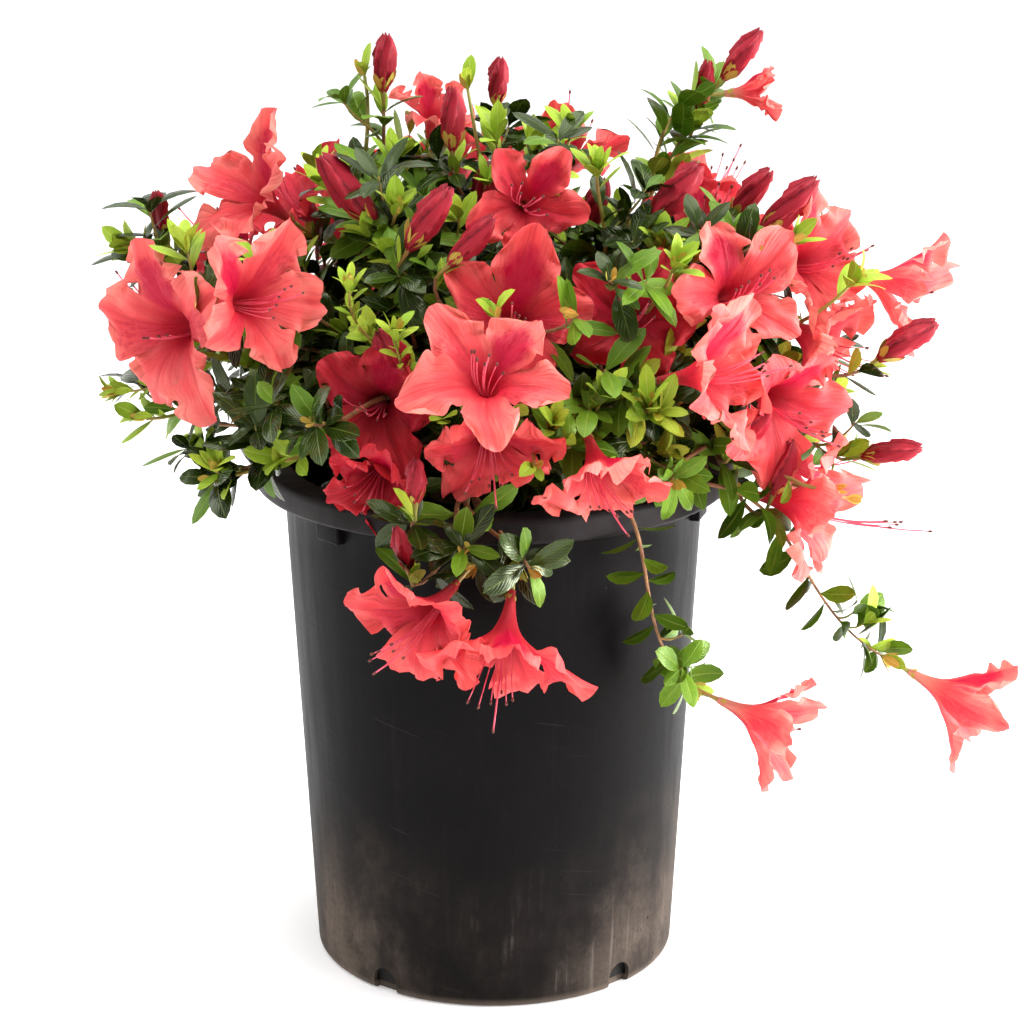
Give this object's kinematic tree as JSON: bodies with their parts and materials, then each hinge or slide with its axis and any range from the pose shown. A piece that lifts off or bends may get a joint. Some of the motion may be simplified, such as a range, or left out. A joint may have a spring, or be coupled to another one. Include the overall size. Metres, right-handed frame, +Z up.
{
  "type": "potted azalea shrub",
  "caption": "Flowering evergreen azalea shrub in a round black nursery pot: low spreading crown, coral-red funnel blossoms, crimson buds, small dark leaves and trailing twigs.",
  "frame": {"origin": "centre of the pot's flat underside", "axes": "+Z up the pot's axis; -Y the side the shrub shows best, where blossom hangs over the rim; +X its right, where the longest twig trails"},
  "size_m": [0.4231, 0.3458, 0.434],
  "materials": {
    "pot": "satin charcoal black, scuffed, with a dusty brown film towards the foot",
    "potting_mix": "dark crumbled bark mix, matt",
    "bark": "fine brown bark, matt",
    "foliage": "satin dark green leaves with lime young shoots and coral-red blossom"
  },
  "bodies": {
    "root": {"pot": "pot", "potting_mix": "potting_mix", "trunk": "bark", "bough_left": "bark", "bough_left_low": "bark", "bough_front_left": "bark", "bough_front": "bark", "bough_front_hanging": "bark", "bough_front_right": "bark", "bough_right_front": "bark", "bough_right_high": "bark", "bough_right": "bark", "bough_right_low": "bark", "bough_front_trail": "bark", "bough_right_trail": "bark", "bough_top_left": "bark", "bough_top": "bark", "bough_top_right_far": "bark", "bough_top_right": "bark", "bough_back_left": "bark", "bough_back_left_low": "bark", "bough_back": "bark", "bough_back_low": "bark", "bough_back_right": "bark", "bough_back_right_low": "bark", "bough_far_left": "bark", "bough_far_right": "bark", "foliage_left": "foliage", "foliage_left_low": "foliage", "foliage_front_left": "foliage", "foliage_front": "foliage", "foliage_front_hanging": "foliage", "foliage_front_right": "foliage", "foliage_right_front": "foliage", "foliage_right_high": "foliage", "foliage_right": "foliage", "foliage_right_low": "foliage", "foliage_front_trail": "foliage", "foliage_right_trail": "foliage", "foliage_top_left": "foliage", "foliage_top": "foliage", "foliage_top_right_far": "foliage", "foliage_top_right": "foliage", "foliage_back_left": "foliage", "foliage_back_left_low": "foliage", "foliage_back": "foliage", "foliage_back_low": "foliage", "foliage_back_right": "foliage", "foliage_back_right_low": "foliage", "foliage_far_left": "foliage", "foliage_far_right": "foliage"}
  },
  "joints": []
}
